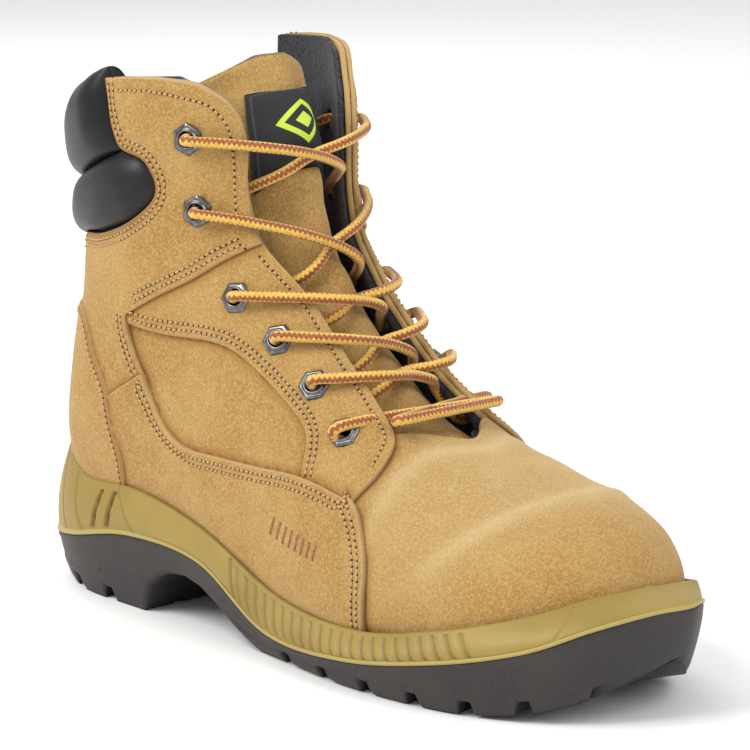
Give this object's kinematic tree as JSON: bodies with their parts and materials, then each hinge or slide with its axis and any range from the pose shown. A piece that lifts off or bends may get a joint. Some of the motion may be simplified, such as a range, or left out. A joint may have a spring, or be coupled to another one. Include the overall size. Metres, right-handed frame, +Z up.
{
  "type": "steel toe work boot",
  "caption": "Right-foot lace-up ankle work boot in suede, with a steel toe cap, padded collar, tongue, hexagonal eyelets, laces and a two-part injected sole.",
  "frame": {"origin": "on the ground, under the middle of the sole's length and width", "axes": "+X towards the toe, +Z up, -Y towards the outer (lateral) side of the foot"},
  "size_m": [0.304, 0.113, 0.1994],
  "materials": {
    "suede": "napped suede",
    "collar_leather": "smooth, soft sheen",
    "lining_textile": "knitted mesh",
    "outsole_rubber": "matte moulded",
    "midsole_foam": "moulded polyurethane, satin",
    "steel": "pressed",
    "fibre_board": "pressed fibre",
    "footbed_foam": "foam with textile top",
    "woven_label": "woven",
    "eyelet_metal": "dark nickel",
    "lace_yarn": "round braid",
    "aglet_plastic": "clear tinted"
  },
  "bodies": {
    "boot": {"outsole": "outsole_rubber", "midsole": "midsole_foam", "shank": "steel", "insole_board": "fibre_board", "vamp": "suede", "steel_toe_cap": "steel", "toe_cap_edging": "lining_textile", "vamp_lining": "lining_textile", "heel_counter": "fibre_board", "heel_patch": "suede", "collar_roll_lower": "collar_leather", "collar_roll_upper": "collar_leather", "lace": "lace_yarn", "quarter_lateral": "suede", "quarter_lining_lateral": "lining_textile", "shaft_panel_lateral": "suede", "foxing_lateral": "suede", "eyestay_lateral": "suede", "aglet_lateral": "aglet_plastic", "eyelet_lateral_1": "eyelet_metal", "eyelet_lateral_2": "eyelet_metal", "eyelet_lateral_3": "eyelet_metal", "eyelet_lateral_4": "eyelet_metal", "eyelet_lateral_5": "eyelet_metal", "eyelet_lateral_6": "eyelet_metal", "quarter_medial": "suede", "quarter_lining_medial": "lining_textile", "shaft_panel_medial": "suede", "foxing_medial": "suede", "eyestay_medial": "suede", "aglet_medial": "aglet_plastic", "eyelet_medial_1": "eyelet_metal", "eyelet_medial_2": "eyelet_metal", "eyelet_medial_3": "eyelet_metal", "eyelet_medial_4": "eyelet_metal", "eyelet_medial_5": "eyelet_metal", "eyelet_medial_6": "eyelet_metal"},
    "tongue": {"tongue": "suede", "tongue_padding": "lining_textile", "tongue_label": "woven_label"},
    "footbed": {"footbed": "footbed_foam"}
  },
  "joints": [
    {"name": "tongue_tilt", "type": "hinge", "parent": "boot", "child": "tongue", "pos_m": [0.042, 0.0018, 0.062], "axis": [0, -1, 0], "range_deg": [0, 12]},
    {"name": "footbed_lift", "type": "hinge", "parent": "boot", "child": "footbed", "pos_m": [0.1265, 0.0018, 0.03], "axis": [0, 1, 0], "range_deg": [0, 5]}
  ]
}
